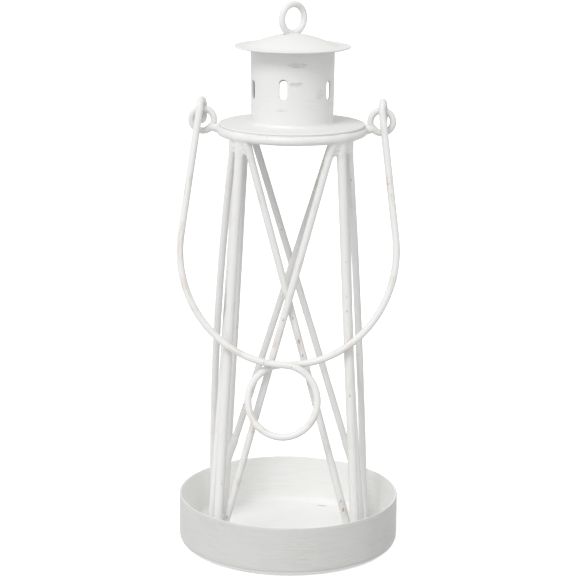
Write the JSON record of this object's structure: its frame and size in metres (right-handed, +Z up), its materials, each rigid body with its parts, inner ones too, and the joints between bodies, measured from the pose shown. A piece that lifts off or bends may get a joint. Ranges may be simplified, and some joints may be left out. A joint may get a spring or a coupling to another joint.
{
  "type": "candle lantern",
  "caption": "Painted metal candle lantern: round tray, tapering wire cage with crossed braces, vented chimney with brimmed cap, and a swinging wire handle.",
  "frame": {"origin": "centre of the tray's underside, on the surface the lantern stands on", "axes": "+Z up through the chimney and hanging ring; the front, where the handle rests, faces -Y; +X to the right seen from the front"},
  "size_m": [0.122, 0.122, 0.3016],
  "materials": {
    "painted_sheet": "brushed antique white paint on pressed steel sheet, satin",
    "painted_wire": "antique white paint on steel rod, rubbed and chipped, satin"
  },
  "bodies": {
    "lantern": {"tray": "painted_sheet", "post_front_right": "painted_wire", "post_rear_right": "painted_wire", "post_rear_left": "painted_wire", "post_front_left": "painted_wire", "brace_front_outer": "painted_wire", "brace_front_inner": "painted_wire", "brace_right_outer": "painted_wire", "brace_right_inner": "painted_wire", "brace_rear_outer": "painted_wire", "brace_rear_inner": "painted_wire", "brace_left_outer": "painted_wire", "brace_left_inner": "painted_wire", "top_ring": "painted_wire", "top_plate": "painted_sheet", "chimney": "painted_sheet", "roof_cap": "painted_sheet", "hanging_ring": "painted_wire", "lug_left": "painted_wire", "lug_right": "painted_wire"},
    "handle": {"bail": "painted_wire"}
  },
  "joints": [
    {"name": "bail_swing", "type": "hinge", "parent": "lantern", "child": "handle", "pos_m": [0, 0, 0.2438], "axis": [-1, 0, 0], "range_deg": [0, 270]}
  ]
}
